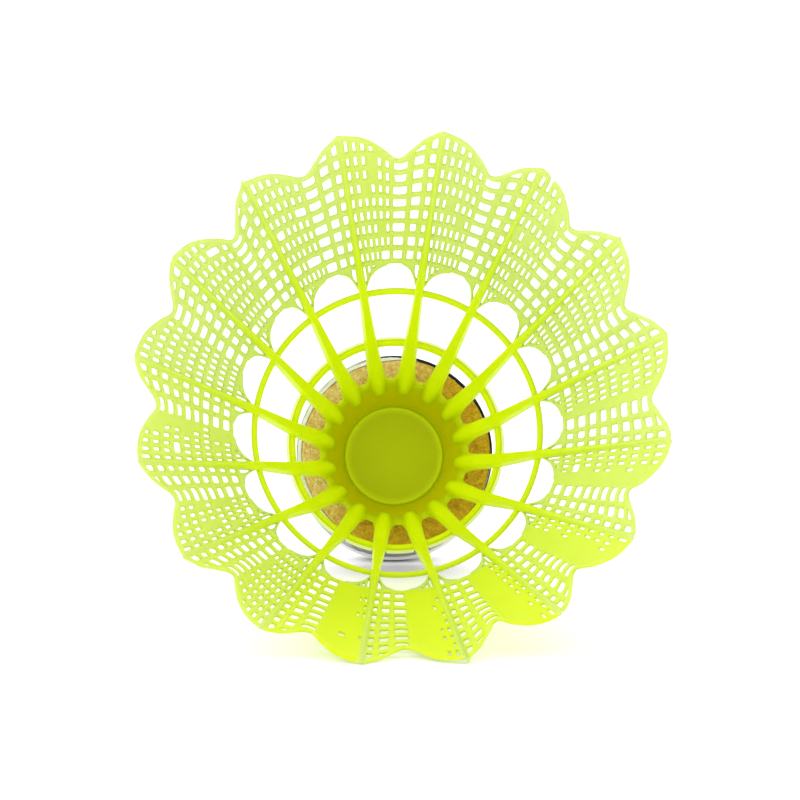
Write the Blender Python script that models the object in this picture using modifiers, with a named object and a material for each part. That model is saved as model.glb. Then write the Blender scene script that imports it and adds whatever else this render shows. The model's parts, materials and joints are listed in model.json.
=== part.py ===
"""Badminton shuttlecock with a moulded nylon skirt, lying on its side on a flat surface.

Every piece is drawn upright in the shuttlecock's own frame: the axis is Z, the nose of the
cork is at height 0 and the open mouth of the skirt is at the top.  An empty lays the pieces
down together, until two lobes of the skirt and the cork's dome touch the ground at Z = 0.
Angles run clockwise round the axis as seen from the open mouth, from the highest line of the
shuttlecock as it lies.
"""
import math

import bmesh
import bpy
import numpy as np

MM = 0.001
DEG = math.pi / 180.0

# The whole shuttlecock
LENGTH = 84.0 * MM             # nose of the cork to the tips of the lobes
MOUTH_RADIUS = 33.5 * MM       # circle through the tips
GAP = 0.3 * MM                 # clearance between pieces that touch on the real object

# Skirt: sixteen ribs, two hoops and a pleated, scalloped vane
RIBS = 16
PITCH = 2.0 * math.pi / RIBS
FIRST_RIB = 8.9 * DEG
LOWEST_VALLEY = FIRST_RIB + 7.5 * PITCH
GROUND_BEND = 0.32 * MM        # how far the two lobes that it lies on are bent, so both touch
LOWER_HOOP_HEIGHT = 33.3 * MM
LOWER_HOOP_RADIUS = 14.1 * MM
UPPER_HOOP_HEIGHT = 47.2 * MM
UPPER_HOOP_RADIUS = 18.85 * MM
VANE_FOOT = 54.1 * MM          # lower edge of the vane between two ribs
WEB_FOOT = 48.9 * MM           # lower end of the webs in the vane's corners
VANE_THICKNESS = 0.4 * MM
SCALLOP = 3.8 * MM             # depth of the rim's valleys below the tips
VALLEY_ANGLE = 12.75 * DEG     # from a rib to the valley that follows it
PLEAT_DEPTH = 1.5 * MM         # how far the valleys are folded inwards at the rim
PLEAT_FOOT = 62.5 * MM         # height where the folds have run out
PLEAT_TOP = 80.0 * MM

# Lattice openings in the vane: two columns to the right of each valley
CELL_ROWS = 8
CELL_HEIGHT = 2.4 * MM
CELL_TOP = 79.70 * MM          # upper edge of the highest row
ROW_PITCH = 3.20 * MM
WIDE_CELL = (11.75 * DEG, 15.4 * DEG)
MEDIUM_CELL = (16.6 * DEG, 19.1 * DEG)
RIB_STRIP = 0.95 * DEG         # half of the plain strip that carries a rib
PANEL_FOLDS = (4.5 * DEG, 8.0 * DEG)

# Collar and plug, the cup at the skirt's foot that is set in the cork
COLLAR_TOP = 25.8 * MM
COLLAR_RADIUS = 9.95 * MM
COLLAR_WALL = 0.75 * MM
PLUG_FLOOR = 20.0 * MM
PLUG_PAD_RADIUS = 6.53 * MM
PLUG_PAD_HEIGHT = 0.3 * MM
PLUG_BOTTOM = 17.6 * MM
PLUG_BOTTOM_RADIUS = 8.2 * MM

# Cork base, its skin and its band
CORK_TOP = 24.0 * MM
DOME_RADIUS = 13.4 * MM
BAND_RADIUS = 13.15 * MM
BAND_WALL = 0.3 * MM
BAND_WIDTH = 8.0 * MM
SKIN = 0.4 * MM
CORK_EDGE = 0.25 * MM          # rounding of the cork's upper edge

ROUND_STEPS = 48               # facets round the turned pieces
DOME_STEPS = 12                # facets from the dome's side to the nose

COLOURS = {
    "skirt": ((0.62, 0.87, 0.02), 0.40),
    "cork_base": ((0.62, 0.42, 0.16), 0.85),
    "cork_skin": ((0.90, 0.90, 0.88), 0.55),
    "edge_band": ((0.015, 0.015, 0.017), 0.25),
}


def material(name):
    """A Principled material in the piece's own colour."""
    colour, roughness = COLOURS[name]
    mat = bpy.data.materials.new(name)
    mat.use_nodes = True
    shader = mat.node_tree.nodes["Principled BSDF"]
    shader.inputs["Base Color"].default_value = (*colour, 1.0)
    shader.inputs["Roughness"].default_value = roughness
    mat.diffuse_color = (*colour, 1.0)
    return mat


def add_object(name, mesh, collection):
    obj = bpy.data.objects.new(name, mesh)
    collection.objects.link(obj)
    return obj


def mesh_from(name, points, faces):
    """A mesh whose faces are turned to point outwards."""
    mesh = bpy.data.meshes.new(name)
    mesh.from_pydata(points, [], faces)
    bm = bmesh.new()
    bm.from_mesh(mesh)
    bmesh.ops.recalc_face_normals(bm, faces=bm.faces)
    bm.to_mesh(mesh)
    bm.free()
    return mesh


def turned(name, profile, collection, steps=ROUND_STEPS):
    """A profile of (radius, height) points, spun round the axis by a Screw modifier."""
    mesh = bpy.data.meshes.new(name)
    points = [(radius, 0.0, height) for radius, height in profile]
    mesh.from_pydata(points, [(i, i + 1) for i in range(len(points) - 1)], [])
    obj = add_object(name, mesh, collection)
    screw = obj.modifiers.new("turn", "SCREW")
    screw.axis = "Z"
    screw.angle = 2.0 * math.pi
    screw.steps = steps
    screw.render_steps = steps
    screw.use_merge_vertices = True
    screw.merge_threshold = 0.00001
    return obj


def skirt_radius(height):
    """Outer radius of the skirt's cone at a height, without its pleats."""
    heights = (COLLAR_TOP, LOWER_HOOP_HEIGHT, UPPER_HOOP_HEIGHT, LENGTH)
    radii = (COLLAR_RADIUS, LOWER_HOOP_RADIUS, UPPER_HOOP_RADIUS, MOUTH_RADIUS)
    return float(np.interp(height, heights, radii))


def ground_bend(turn, height):
    """The lobe before the lowest valley is bent outwards and the one after it inwards."""
    away = (turn - LOWEST_VALLEY) / PITCH
    reach = (height - UPPER_HOOP_HEIGHT) / (LENGTH - UPPER_HOOP_HEIGHT)
    return -GROUND_BEND * max(0.0, reach) * math.sin(math.pi * away) * math.exp(-1.2 * away ** 2)


def valley_share(angle):
    """0 on a rib, rising to 1 in the valley, for an angle counted from the rib."""
    if angle < VALLEY_ANGLE:
        return angle / VALLEY_ANGLE
    return (PITCH - angle) / (PITCH - VALLEY_ANGLE)


def rim_height(angle):
    """Height of the scalloped rim."""
    return LENGTH - SCALLOP * 0.5 * (1.0 - math.cos(math.pi * valley_share(angle)))


def foot_height(angle):
    """Height of the vane's lower edge: an arch between two ribs, lower in its corners."""
    left = (RIB_STRIP, 10.75 * DEG)
    right = (16.75 * DEG, PITCH - RIB_STRIP)
    heights = (WEB_FOOT, VANE_FOOT, VANE_FOOT, WEB_FOOT)
    return float(np.interp(angle, left + right, heights))


def vane_point(rib, angle, height):
    """A point on the vane's outer surface, folded inwards towards the valleys."""
    fold = min(1.0, max(0.0, (height - PLEAT_FOOT) / (PLEAT_TOP - PLEAT_FOOT)))
    turn = FIRST_RIB + rib * PITCH + angle
    radius = skirt_radius(height) + ground_bend(turn, height)
    radius -= PLEAT_DEPTH * fold * valley_share(angle) ** 2
    return (radius * math.sin(turn), radius * math.cos(turn), height)


def cell_edges():
    """Heights of the upper and lower edges of every lattice row, from the rim down."""
    edges = []
    for row in range(CELL_ROWS):
        top = CELL_TOP - row * ROW_PITCH
        edges += [top, top - CELL_HEIGHT]
    return edges


def vane_lines():
    """The lines that run down one sector: angle, heights, and whether cells start there."""
    edges = cell_edges()
    plain = (RIB_STRIP, *PANEL_FOLDS, PITCH - RIB_STRIP)
    lines = [(angle, (rim_height(angle), PLEAT_FOOT, foot_height(angle)), False) for angle in plain]
    for left, right in (WIDE_CELL, MEDIUM_CELL):
        for angle in (left, right):
            heights = (rim_height(angle), *edges, foot_height(angle))
            lines.append((angle, heights, angle == left))
    return sorted(lines)


def vane_mesh():
    """One open sheet: sixteen sectors side by side, with the lattice cells left out."""
    points = []
    columns = []
    for rib in range(RIBS):
        for angle, heights, starts_cells in vane_lines():
            first = len(points)
            points += [vane_point(rib, angle, height) for height in heights]
            columns.append((first, len(heights), starts_cells))
    faces = []
    for index, (first, count, starts_cells) in enumerate(columns):
        next_first, next_count, _ = columns[(index + 1) % len(columns)]
        left = list(range(first, first + count))
        right = list(range(next_first, next_first + next_count))
        if count == next_count:
            rows = [(row, row + 1, row, row + 1) for row in range(count - 1)]
            if starts_cells:
                rows = rows[::2]
        else:
            rows = [(0, count - 1, 0, next_count - 1)]
        for top, bottom, next_top, next_bottom in rows:
            faces.append(right[next_top:next_bottom + 1] + left[top:bottom + 1][::-1])
    mesh = bpy.data.meshes.new("vane")
    mesh.from_pydata(points, [], faces)
    return mesh


def rib_stations():
    """Height, outer radius, depth and width of a rib, from the tip of its lobe to the collar."""
    tip = LENGTH - 0.5 * MM
    collar = COLLAR_TOP - 0.6 * MM
    return (
        (tip, skirt_radius(tip) + 0.10 * MM, 0.75 * MM, 0.60 * MM),
        (VANE_FOOT, skirt_radius(VANE_FOOT) + 0.15 * MM, 1.15 * MM, 0.90 * MM),
        (UPPER_HOOP_HEIGHT, UPPER_HOOP_RADIUS + 0.12 * MM, 1.35 * MM, 1.15 * MM),
        (LOWER_HOOP_HEIGHT, LOWER_HOOP_RADIUS + 0.10 * MM, 1.60 * MM, 1.75 * MM),
        (collar, skirt_radius(COLLAR_TOP) - 0.20 * MM, 1.60 * MM, 2.15 * MM),
    )


def rib_mesh(rib):
    """A tapered bar of rectangular section that follows the cone and stands proud inside."""
    turn = FIRST_RIB + rib * PITCH
    outward = np.array((math.sin(turn), math.cos(turn), 0.0))
    sideways = np.array((math.cos(turn), -math.sin(turn), 0.0))
    up = np.array((0.0, 0.0, 1.0))
    points = []
    for height, radius, depth, width in rib_stations():
        outer = radius + ground_bend(turn, height)
        for across, along in ((-0.5, outer), (0.5, outer), (0.5, outer - depth), (-0.5, outer - depth)):
            points.append(outward * along + sideways * (across * width) + up * height)
    faces = [(0, 1, 2, 3)]
    last = len(points) - 4
    for start in range(0, last, 4):
        for side in range(4):
            turned_side = (side + 1) % 4
            faces.append((start + side, start + turned_side, start + 4 + turned_side, start + 4 + side))
    faces.append(tuple(range(last, last + 4)))
    return mesh_from("rib", points, faces)


def hoop(name, height, radius, radial, axial, lip, collection):
    """A ring of rectangular section with a thin outer lip on its lower side."""
    inner = radius - radial
    shelf = height - axial * 0.5 + 0.25 * MM
    profile = (
        (inner, height - axial * 0.5),
        (inner, height + axial * 0.5),
        (radius - lip, height + axial * 0.5),
        (radius - lip, shelf),
        (radius, shelf),
        (radius, height - axial * 0.5),
        (inner, height - axial * 0.5),
    )
    return turned(name, profile, collection)


def plug_radius(height):
    """Outer radius of the plug's conical wall."""
    return float(np.interp(height, (PLUG_BOTTOM, COLLAR_TOP), (PLUG_BOTTOM_RADIUS, COLLAR_RADIUS)))


def plug(collection):
    """The cup at the skirt's foot, with a low round pad on its floor."""
    groove = 0.4 * MM
    profile = (
        (0.0, PLUG_FLOOR + PLUG_PAD_HEIGHT),
        (PLUG_PAD_RADIUS, PLUG_FLOOR + PLUG_PAD_HEIGHT),
        (PLUG_PAD_RADIUS, PLUG_FLOOR),
        (PLUG_PAD_RADIUS + groove, PLUG_FLOOR),
        (COLLAR_RADIUS - COLLAR_WALL, COLLAR_TOP),
        (COLLAR_RADIUS, COLLAR_TOP),
        (PLUG_BOTTOM_RADIUS, PLUG_BOTTOM),
        (0.0, PLUG_BOTTOM),
    )
    return turned("plug", profile, collection)


def skirt(parts, tools):
    """Vane, ribs, hoops and plug, joined into the one moulding that they are."""
    obj = add_object("skirt", vane_mesh(), parts)
    shell = obj.modifiers.new("thickness", "SOLIDIFY")
    shell.thickness = VANE_THICKNESS
    shell.offset = -1.0
    shell.use_even_offset = True
    joined = bpy.data.collections.new("joined_to_skirt")
    tools.children.link(joined)
    for rib in range(RIBS):
        add_object(f"rib_{rib:02d}", rib_mesh(rib), joined)
    hoop("upper_hoop", UPPER_HOOP_HEIGHT, UPPER_HOOP_RADIUS, 0.75 * MM, 0.9 * MM, 0.2 * MM, joined)
    hoop("lower_hoop", LOWER_HOOP_HEIGHT, LOWER_HOOP_RADIUS + 0.25 * MM, 1.2 * MM, 0.9 * MM,
         0.45 * MM, joined)
    plug(joined)
    for tool in joined.objects:
        tool.hide_render = True
        tool.display_type = "WIRE"
    union = obj.modifiers.new("one_moulding", "BOOLEAN")
    union.operation = "UNION"
    union.solver = "EXACT"
    union.operand_type = "COLLECTION"
    union.collection = joined
    return obj


def dome(radius, centre, steps):
    """Profile points of a dome, from its widest line down to the nose."""
    angles = [0.5 * math.pi * step / steps for step in range(steps + 1)]
    points = [(radius * math.cos(a), centre - radius * math.sin(a)) for a in angles[:-1]]
    return points + [(0.0, centre - radius)]


def cork_base(parts):
    """Granular cork, domed, with a conical bore for the plug."""
    side = BAND_RADIUS - BAND_WALL - GAP
    bore_floor = PLUG_BOTTOM - GAP
    profile = [
        (0.0, bore_floor),
        (PLUG_BOTTOM_RADIUS + GAP, bore_floor),
        (plug_radius(CORK_TOP) + GAP, CORK_TOP),
        (side - CORK_EDGE, CORK_TOP),
        (side, CORK_TOP - CORK_EDGE),
        (side, CORK_TOP - BAND_WIDTH - GAP),
    ]
    profile += dome(DOME_RADIUS - SKIN - GAP, DOME_RADIUS, 8)
    return turned("cork_base", profile, parts)


def cork_skin(parts):
    """Thin white cover over the cork's sides and dome, up to the band."""
    top = CORK_TOP - BAND_WIDTH - GAP
    top_radius = BAND_RADIUS + 0.05 * MM
    inside = dome(DOME_RADIUS - SKIN, DOME_RADIUS, DOME_STEPS)
    outside = dome(DOME_RADIUS, DOME_RADIUS, DOME_STEPS)
    profile = inside[::-1] + [(top_radius - SKIN, top), (top_radius, top)] + outside
    return turned("cork_skin", profile, parts)


def edge_band(parts):
    """Ribbon round the upper edge of the cork."""
    top = CORK_TOP
    bottom = CORK_TOP - BAND_WIDTH
    inner = BAND_RADIUS - BAND_WALL
    profile = ((inner, bottom), (inner, top), (BAND_RADIUS, top), (BAND_RADIUS, bottom), (inner, bottom))
    return turned("edge_band", profile, parts)


def drawn_points(obj):
    """The evaluated vertices of an object in the upright frame."""
    mesh = obj.evaluated_get(bpy.context.evaluated_depsgraph_get()).to_mesh()
    points = np.empty(len(mesh.vertices) * 3)
    mesh.vertices.foreach_get("co", points)
    return points.reshape(-1, 3)


def laid_down(points, tilt):
    """Upright points after the axis is laid down to a slope of tilt, nose lowest."""
    across = points[:, 1] * math.sin(tilt) - points[:, 2] * math.cos(tilt)
    above = points[:, 1] * math.cos(tilt) + points[:, 2] * math.sin(tilt)
    return np.column_stack((points[:, 0], across, above))


def lay_down(parts_list, tools):
    """Parent the pieces to an empty that rests the skirt's lobes and the cork on the ground."""
    bpy.context.view_layer.update()
    rim, base = (drawn_points(obj) for obj in parts_list[:2])
    low, high = 0.0, 0.5
    for _ in range(40):
        tilt = 0.5 * (low + high)
        if laid_down(rim, tilt)[:, 2].min() < laid_down(base, tilt)[:, 2].min():
            low = tilt
        else:
            high = tilt
    placed = laid_down(np.vstack((rim, base)), tilt)
    middle = 0.5 * (placed.min(axis=0) + placed.max(axis=0))
    rest = bpy.data.objects.new("rest_pose", None)
    rest.empty_display_size = 0.02
    rest.rotation_euler = (0.5 * math.pi - tilt, 0.0, 0.0)
    rest.location = (-middle[0], -middle[1], -placed[:, 2].min())
    bpy.context.scene.collection.objects.link(rest)
    for obj in [*parts_list, *tools.all_objects]:
        obj.parent = rest


def main():
    for obj in list(bpy.data.objects):
        bpy.data.objects.remove(obj, do_unlink=True)
    parts = bpy.data.collections.new("shuttlecock")
    tools = bpy.data.collections.new("construction")
    for collection in (parts, tools):
        bpy.context.scene.collection.children.link(collection)
    pieces = [skirt(parts, tools), cork_skin(parts), cork_base(parts), edge_band(parts)]
    for obj in pieces:
        obj.data.materials.append(material(obj.name))
    lay_down(pieces, tools)
    bpy.context.view_layer.update()


main()
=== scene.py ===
"""Looks of a badminton shuttlecock that lies on its side: lattice skirt, cork, cover and ribbon.

Shapes are worked out in the shuttlecock's own upright frame: the axis is Z, the nose of the cork
is at height 0, and depths run from the tips of the skirt's lobes down towards the nose.  Angles
run clockwise round the axis as seen from the open mouth.  One matrix, read from the frame's
mount, lays every piece down where the CAD model lies.
"""
import json
import math
import random

import bmesh
import bpy
import numpy as np
from mathutils import Matrix, Vector, noise


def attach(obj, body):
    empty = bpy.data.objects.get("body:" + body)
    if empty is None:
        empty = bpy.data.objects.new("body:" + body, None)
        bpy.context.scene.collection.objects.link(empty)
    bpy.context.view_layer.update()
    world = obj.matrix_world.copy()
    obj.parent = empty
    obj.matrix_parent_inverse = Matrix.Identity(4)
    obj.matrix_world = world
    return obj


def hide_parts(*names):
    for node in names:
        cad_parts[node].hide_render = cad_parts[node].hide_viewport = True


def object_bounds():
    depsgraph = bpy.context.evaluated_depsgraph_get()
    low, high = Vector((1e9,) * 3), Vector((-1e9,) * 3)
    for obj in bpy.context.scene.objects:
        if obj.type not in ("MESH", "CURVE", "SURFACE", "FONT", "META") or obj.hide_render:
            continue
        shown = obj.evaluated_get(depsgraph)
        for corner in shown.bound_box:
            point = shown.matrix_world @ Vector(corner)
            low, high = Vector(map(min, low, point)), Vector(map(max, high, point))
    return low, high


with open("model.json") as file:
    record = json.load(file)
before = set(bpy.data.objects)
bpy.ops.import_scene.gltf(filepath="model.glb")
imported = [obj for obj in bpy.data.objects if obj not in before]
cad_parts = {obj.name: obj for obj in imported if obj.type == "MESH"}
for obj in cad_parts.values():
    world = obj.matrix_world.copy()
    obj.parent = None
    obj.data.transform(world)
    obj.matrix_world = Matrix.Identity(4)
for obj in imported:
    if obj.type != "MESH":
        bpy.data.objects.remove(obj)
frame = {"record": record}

cad_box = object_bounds()

MM = 0.001
DEG = math.pi / 180.0

# ---------------------------------------------------------------- sizes, in millimetres
LENGTH = 84.0
MOUTH_RADIUS = 33.6
PAD_HEIGHT = 20.3            # height of the plug's flat pad, where the frame's mount is
RIBS = 16
PITCH = 22.5                 # degrees between ribs
FIRST_RIB = 8.9
LOWEST_VALLEY = 7.5          # where the lowest valley is, in pitches after the first rib
GROUND_BEND = 0.32           # how far the two lobes that it lies on are bent

FLOOR_GLOW = 0.27            # the floor is lit a little from below, like a light table ...
FLOOR_PAINTED_SHADOW = (10.0, 4.2)     # ... but not under the cork, where a painted contact shadow is left: half sizes of that patch, across and along
OUTSIDE_PAINTED_SHADE = (0.72, 0.76, 0.74)    # painted shade: the skirt's outer side is coloured darker than its inner side
RIM_PAINTED_SHADE = 0.5              # share of that on the rim itself
BESIDE_RIB = 0.15            # degrees between a rib and the first of the vane's lines
SHARP_ANGLE = 50.0           # edges that turn by more than this look sharp
FIN_CREASE = 0.75            # how sharp the inner edges of the ribs stay when smoothed

UPPER_HOOP = (36.35, 37.25)  # depths of its two edges
LOWER_HOOP = (50.15, 51.25)
UPPER_MIDDLE = 36.8          # depths of the hoops' middles, and the cone's radii there
LOWER_MIDDLE = 50.7
UPPER_RADIUS = 18.85
LOWER_RADIUS = 14.1
HOOP_DEPTH = 0.62            # radial size of a hoop
HOOP_INSET = 0.12            # how far inwards the lower one's core is set
HOOP_LIP = 0.50              # thin outer lip on the lower hoop's far side
COLLAR_TOP = 58.2
COLLAR_RADIUS = 9.95
CORK_FACE = 60.0
PLUG_BOTTOM = 66.4
PLUG_RADIUS = 8.2
PLUG_WELL = 64.0
PLUG_WALL = ((57.0, 9.7), (61.0, 8.1))    # depths and inner radii of the collar's wall
FIN_FOOT_RADIUS = 8.15       # as far inwards as the ribs' fins reach on that wall

# The vane, the pleated lattice between the tips and the arches
SCALLOP = 4.5
VALLEY_ANGLE = 12.9
FOLD_FLAT = (12.2, 14.3)     # the fold's floor, in degrees after a rib
FOLD_RUNOUT = 21.5           # depth where the folds have run out
TIP_REACH = 0.55             # extra length that a tip loses again when it is smoothed
RIM_BAND = 1.15
SHEET = 0.50
FIRST_CELL = 4.65
CELL_PITCH = 3.2
CELL_HEIGHT = 2.15
CELL_ROWS = 8
CORNER = 0.30                # rounding of a cell's corners
FOOT_BAR = 0.95
LEAST_TIP_CELL = 0.55        # least height of an opening in the tips ...
LEAST_WEB_CELL = 0.50        # ... and in the webs beside the arches
LEAST_WEB = 0.30             # least height of such a web
LAST_BAR = FIRST_CELL + (CELL_ROWS - 1) * CELL_PITCH + CELL_HEIGHT + FOOT_BAR
ARCH = 5.1                   # height of an arch below the last bar
# Share of each sector's narrow columns that the moulding's flash has filled, from the fold on
FLASHED = (0.0, 0.0, 0.0, 0.27, 0.50, 0.72, 0.80, 0.86, 0.90, 0.15, 0.15, 0.26, 0.0, 0.0, 0.0, 0.0)
FLASHED_ELSEWHERE = 0.03
FLASHED_TONE = 0.12          # how much less thin the sheet looks where all are filled
# How much less thin, so deeper in colour, each sector's whole sheet looks
DEEPER = (0.0, 0.0, 0.0, 0.10, 0.20, 0.40, 0.52, 0.54, 0.54, 0.34, 0.24, 0.20, 0.0, 0.0, 0.0, 0.15)
RIB_LINES = 4                # lines of the grid that belong to a rib
TIP_ROWS = 5                 # rows of points above the first cells
POINTS_DOWN = 4              # rows of points for each row of cells
NARROW_COLUMNS = 6
NARROW_FIRST = 1.20
NARROW_PITCH = 1.83
NARROW_HALF = 0.30
WIDE_CELL = (11.95, 15.2)
MEDIUM_CELL = (16.85, 18.9)
SMALL_CELL = (20.45, 21.65)
# The folds of a skirt that has been played with aren't equal: one depth for each sector
FOLD_DEPTHS = (1.4, 1.4, 1.8, 1.0, 1.5, 1.6, 1.8, 1.0, 1.0, 1.75, 1.25, 1.45, 1.1, 2.4, 1.1, 1.45)
# ... nor are the ribs quite round: how far each one's tip stands out
RIB_FLARES = (0.2, 0.1, 0.0, 0.2, 0.2, -0.1, -0.3, -0.54, -0.04, 0.0, -0.1, 0.0, 0.0, -0.1, -0.25, 0.1)


# ---------------------------------------------------------------- placing
def rest_matrix():
    """Upright frame in metres to the row frame, from the mount on the plug's floor."""
    mount = frame["record"]["mounts"][0]
    up = Vector(mount["axis"]).normalized()
    across = Vector((1.0, 0.0, 0.0))
    back = up.cross(across)
    turn = Matrix((across, back, up)).transposed().to_4x4()
    nose = Vector(mount["pos_m"]) - up * (PAD_HEIGHT * MM)
    return Matrix.Translation(nose) @ turn


REST = rest_matrix()


def add_object(name, data):
    """An object with this data, linked to the scene."""
    made = bpy.data.objects.new(name, data)
    bpy.context.scene.collection.objects.link(made)
    return made


def mesh_from(bm, name):
    """The finished bmesh as a mesh."""
    mesh = bpy.data.meshes.new(name)
    bm.to_mesh(mesh)
    bm.free()
    return mesh


def add_piece(name, mesh, material, node):
    """A finished piece: laid down, shaded smooth, riding on the body and standing for its CAD node."""
    mesh.transform(REST)
    mesh.materials.append(material)
    mesh.shade_smooth()
    mesh.set_sharp_from_angle(angle=SHARP_ANGLE * DEG)
    piece = add_object(name, mesh)
    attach(piece, "root")
    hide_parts(node)
    return piece


def subdivided(mesh):
    """The mesh with one level of Subdivision Surface applied."""
    holder = add_object("holder", mesh)
    smooth = holder.modifiers.new("smooth", "SUBSURF")
    smooth.levels = 1
    smooth.render_levels = 1
    depsgraph = bpy.context.evaluated_depsgraph_get()
    fine = bpy.data.meshes.new_from_object(holder.evaluated_get(depsgraph))
    bpy.data.objects.remove(holder)
    bpy.data.meshes.remove(mesh)
    return fine


# ---------------------------------------------------------------- the skirt's form
def interp(x, *pairs):
    """Straight-line interpolation through (x, value) pairs."""
    return float(np.interp(x, [p[0] for p in pairs], [p[1] for p in pairs]))


def cone_radius(depth):
    """Outer radius of the skirt's cone."""
    return interp(depth, (0.0, MOUTH_RADIUS), (UPPER_MIDDLE, UPPER_RADIUS),
                  (LOWER_MIDDLE, LOWER_RADIUS), (COLLAR_TOP, COLLAR_RADIUS),
                  (PLUG_BOTTOM, PLUG_RADIUS))


def rib_half_width(depth):
    """Half the width of a rib where it meets the cone."""
    return interp(depth, (0.0, 0.26), (6.0, 0.28), (18.0, 0.36), (31.0, 0.50), (UPPER_MIDDLE, 0.58),
                  (43.3, 0.72), (LOWER_MIDDLE, 0.93), (55.5, 1.14), (CORK_FACE, 1.26))


def rib_depth(depth):
    """How far a rib reaches inwards from the cone."""
    return interp(depth, (0.0, 0.60), (8.0, 0.85), (30.0, 1.15), (UPPER_MIDDLE, 1.35),
                  (LOWER_MIDDLE, 1.60), (COLLAR_TOP, 1.65))


def fin_share(depth):
    """Width of a rib's inner edge as a share of the rib; it tapers to its end on the collar."""
    return interp(depth, (0.0, 0.6), (30.0, 0.6), (37.0, 0.72), (50.0, 0.82), (53.5, 0.72),
                  (COLLAR_TOP, 0.25), (CORK_FACE, 0.2))


def valley_share(angle):
    """0 on the ribs and 1 on the rim's valley."""
    angle %= PITCH
    if angle < VALLEY_ANGLE:
        return angle / VALLEY_ANGLE
    return (PITCH - angle) / (PITCH - VALLEY_ANGLE)


def rim_depth(angle):
    """The scalloped rim: a long convex side after each rib and a short pointed one before it."""
    share = valley_share(angle)
    if angle % PITCH < VALLEY_ANGLE:
        drop = 0.05 * share + 0.95 * share ** 2.6 * (1.9 - 0.9 * share)
    else:
        drop = share ** 1.4
    return SCALLOP * drop - TIP_REACH * max(0.0, 1.0 - 6.0 * share)


def fold(angle):
    """Cross-section of one pleat, 0 on the ribs and 1 on the floor of the fold."""
    angle %= PITCH
    before, after = FOLD_FLAT
    left, right = angle / before, (PITCH - angle) / (PITCH - after)
    return min(1.0, left) ** 2.4 if left < right else min(1.0, right) ** 1.9


def foot_depth(angle):
    """Lower edge of the vane: an arch whose left foot is long and whose right foot is steep."""
    angle %= PITCH
    left = min(1.0, max(0.0, (11.3 - angle) / 10.0))
    right = min(1.0, max(0.0, (angle - 14.8) / 6.4))
    share = max(left, right)
    return LAST_BAR + 0.15 + ARCH * (1.0 - (1.0 - share ** 1.7) ** 0.62)


def strip_height(angle):
    """Height of the solid strip along the arch."""
    return 1.25 if angle % PITCH < VALLEY_ANGLE else 1.5


def ground_bend(turn, depth):
    """The lobe before the lowest valley is bent outwards and the one after it inwards."""
    away = (turn - FIRST_RIB) / PITCH - LOWEST_VALLEY
    reach = max(0.0, 1.0 - depth / UPPER_MIDDLE)
    return -GROUND_BEND * reach * math.sin(math.pi * away) * math.exp(-1.2 * away ** 2)


# ---------------------------------------------------------------- the skirt's grid
def grid_lines():
    """Lines of one sector, as (angle in the vane, share of the rib's half width or None).

    The first four belong to the rib: its edges and the edges of its inner fin."""
    lines = [(0.0, -1.0), (0.0, -0.5), (0.0, 0.5), (0.0, 1.0)]
    for column in range(NARROW_COLUMNS):
        middle = NARROW_FIRST + NARROW_PITCH * column
        lines += [(middle - NARROW_HALF, None), (middle + NARROW_HALF, None)]
    for left, right in (WIDE_CELL, MEDIUM_CELL):
        inset = 0.22 * (right - left)
        lines += [(left, None), (left + inset, None), (right - inset, None), (right, None)]
    lines += [(SMALL_CELL[0], None), (SMALL_CELL[1], None)]
    return lines


def column_cells():
    """For each gap between two lines, the lattice column that it opens, or None."""
    cells = [None] * RIB_LINES
    for column in range(NARROW_COLUMNS):
        cells += [column, None]
    for column in (NARROW_COLUMNS, NARROW_COLUMNS + 1):
        cells += [column, column, column, None]
    return cells + [NARROW_COLUMNS + 2, None]


LINES = grid_lines()
CELLS = column_cells()
RIB_GAPS = (0, 1, 2)
FIN_LINES = (1, 2)
CELL_MIDDLES = [NARROW_FIRST + NARROW_PITCH * c for c in range(NARROW_COLUMNS)]
CELL_MIDDLES += [0.5 * (a + b) for a, b in (WIDE_CELL, MEDIUM_CELL, SMALL_CELL)]


def vane_depths(angle):
    """Depths of the rows from the rim to the arch, at one angle of the vane."""
    rim = rim_depth(angle)
    top = rim + RIM_BAND
    bottom = FIRST_CELL - (CELL_PITCH - CELL_HEIGHT)
    room = FIRST_CELL - rim
    if bottom - top > 0.5:
        tip_rows = [top, top + CORNER, bottom - CORNER, bottom]
    elif bottom > top:
        tip_rows = [top, top + 0.3 * (bottom - top), bottom - 0.3 * (bottom - top), bottom]
    else:
        tip_rows = [rim + room * share for share in (0.3, 0.45, 0.6, 0.75)]
    depths = [rim, *tip_rows]
    for row in range(CELL_ROWS):
        first = FIRST_CELL + row * CELL_PITCH
        last = first + CELL_HEIGHT
        depths += [first, first + CORNER, last - CORNER, last]
    bar = LAST_BAR
    foot = foot_depth(angle)
    strip = max(foot - strip_height(angle), bar + 0.02)
    corner = min(CORNER, 0.3 * (strip - bar))
    return depths + [bar, bar + corner, strip - corner, strip, foot]


ROW_KINDS = ["rim", "tip", "tip", "tip", "bar"]
for cell_row in range(CELL_ROWS):
    ROW_KINDS += [cell_row] * 3 + ["bar"]
ROW_KINDS += ["web", "web", "web", "strip", "rib"]
FOOT_ROW = len(ROW_KINDS) - 1
VANE_ROWS = TIP_ROWS + POINTS_DOWN * CELL_ROWS


def hoop_rows(edges):
    """Depths of the four rows across a hoop."""
    first, last = edges
    return [first, first + 0.32 * (last - first), first + 0.55 * (last - first), last]


def collar_edge(angle):
    """Upper edge of the collar: a round-bottomed notch between two ribs."""
    away = abs(angle % PITCH - 0.5 * PITCH) / (0.5 * PITCH)
    return COLLAR_TOP - 1.7 * away ** 5


def lower_depths(angle):
    """Depths of the rows from below the arches to the collar's wall."""
    edge = collar_edge(angle)
    rows = hoop_rows(UPPER_HOOP) + [39.5, 42.0, 44.5, 47.0, 49.0] + hoop_rows(LOWER_HOOP)
    return rows + [52.3, 53.6, 54.9, edge, edge + 0.3, edge + 0.4 * (60.2 - edge), 60.2]


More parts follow.
